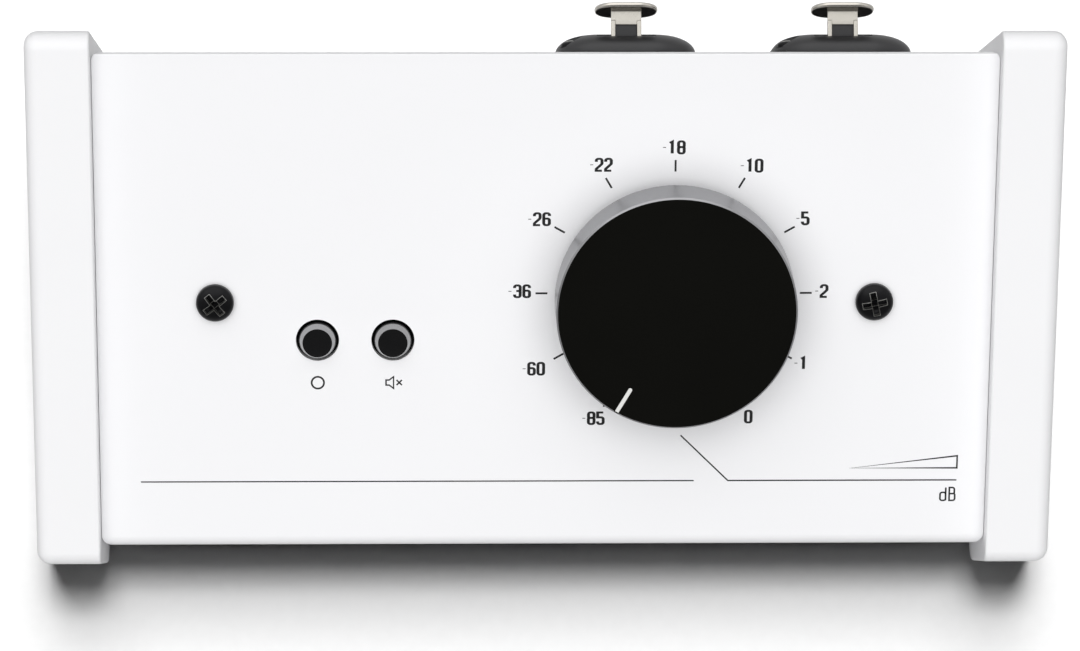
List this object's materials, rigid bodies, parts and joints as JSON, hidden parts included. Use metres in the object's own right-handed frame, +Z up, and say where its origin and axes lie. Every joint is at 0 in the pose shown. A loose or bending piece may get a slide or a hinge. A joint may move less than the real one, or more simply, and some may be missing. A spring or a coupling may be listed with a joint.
{
  "type": "studio monitor controller",
  "caption": "Low desktop monitor controller with a sloped panel between raised cheeks, a large volume knob, push buttons and rear audio sockets.",
  "frame": {"origin": "middle of the footprint of the whole object, on the surface it stands on", "axes": "+X to the right as the user faces the panel, +Y to the rear, +Z up"},
  "size_m": [0.19, 0.1032, 0.0621],
  "materials": {
    "white_panel": "satin white powder coat",
    "white_cheek": "smooth satin white lacquer",
    "foot_rubber": "matt black",
    "bare_steel": "plain bright steel",
    "black_screw": "black zinc, satin",
    "board_green": "green solder resist",
    "nickel": "satin nickel",
    "knob_black": "black, fine-blasted and anodised",
    "pointer_white": "white filled line",
    "brass": "turned",
    "black_plastic": "black moulded plastic",
    "button_black": "black, satin face",
    "plunger_white": "natural white",
    "ribbon_grey": "grey ribbon"
  },
  "bodies": {
    "chassis": {"control_panel": "white_panel", "base_tray": "white_panel", "left_cheek": "white_cheek", "right_cheek": "white_cheek", "foot_pad_front_left": "foot_rubber", "foot_pad_rear_left": "foot_rubber", "foot_pad_front_right": "foot_rubber", "foot_pad_rear_right": "foot_rubber", "rear_bracket": "bare_steel", "cheek_screw_front_left": "bare_steel", "cheek_screw_rear_left": "bare_steel", "cheek_screw_front_right": "bare_steel", "cheek_screw_rear_right": "bare_steel", "board_spacer_left": "bare_steel", "board_spacer_right": "bare_steel", "panel_board_screw_left": "bare_steel", "panel_board_screw_right": "bare_steel", "main_board_screw_left": "bare_steel", "main_board_screw_right": "bare_steel", "attenuator_body": "bare_steel", "attenuator_washer": "bare_steel", "base_screw_left": "black_screw", "base_screw_right": "black_screw", "rear_screw_left": "black_screw", "rear_screw_right": "black_screw", "panel_screw_left": "black_screw", "panel_screw_right": "black_screw", "combo_screw_left_upper": "black_screw", "combo_screw_left_lower": "black_screw", "combo_screw_right_upper": "black_screw", "combo_screw_right_lower": "black_screw", "panel_board": "board_green", "main_board": "board_green", "attenuator_nut": "nickel", "combo_contacts_left": "nickel", "combo_contacts_right": "nickel", "output_jack_left_nut": "nickel", "output_jack_right_nut": "nickel", "aux_jack_nut": "nickel", "mono_switch_body": "black_plastic", "mute_switch_body": "black_plastic", "combo_housing_left": "black_plastic", "combo_housing_right": "black_plastic", "combo_insert_left": "black_plastic", "combo_insert_right": "black_plastic", "output_jack_left": "black_plastic", "output_jack_right": "black_plastic", "aux_jack": "black_plastic", "ribbon_cable": "ribbon_grey"},
    "knob": {"attenuator_shaft": "bare_steel", "knob_cap": "knob_black", "knob_pointer": "pointer_white", "knob_insert": "brass", "knob_grub_screw": "bare_steel"},
    "mono_key": {"mono_button": "button_black", "mono_plunger": "plunger_white"},
    "mute_key": {"mute_button": "button_black", "mute_plunger": "plunger_white"},
    "left_latch": {"combo_latch_left": "nickel"},
    "right_latch": {"combo_latch_right": "nickel"}
  },
  "joints": [
    {"name": "knob_turn", "type": "hinge", "parent": "chassis", "child": "knob", "pos_m": [0.02382, -0.0017, 0.04215], "axis": [0, 0.342, -0.9397], "range_deg": [0, 300]},
    {"name": "mono_press", "type": "slide", "parent": "chassis", "child": "mono_key", "axis": [0, 0.342, -0.9397], "range_m": [0, 0.0015], "stiffness_N_per_m": 400, "springref_m": -0.001},
    {"name": "mute_press", "type": "slide", "parent": "chassis", "child": "mute_key", "axis": [0, 0.342, -0.9397], "range_m": [0, 0.0015], "stiffness_N_per_m": 400, "springref_m": -0.001},
    {"name": "left_latch_push", "type": "slide", "parent": "chassis", "child": "left_latch", "axis": [0, -1, 0], "range_m": [0, 0.0018], "stiffness_N_per_m": 500, "springref_m": -0.001},
    {"name": "right_latch_push", "type": "slide", "parent": "chassis", "child": "right_latch", "axis": [0, -1, 0], "range_m": [0, 0.0018], "stiffness_N_per_m": 500, "springref_m": -0.001}
  ]
}
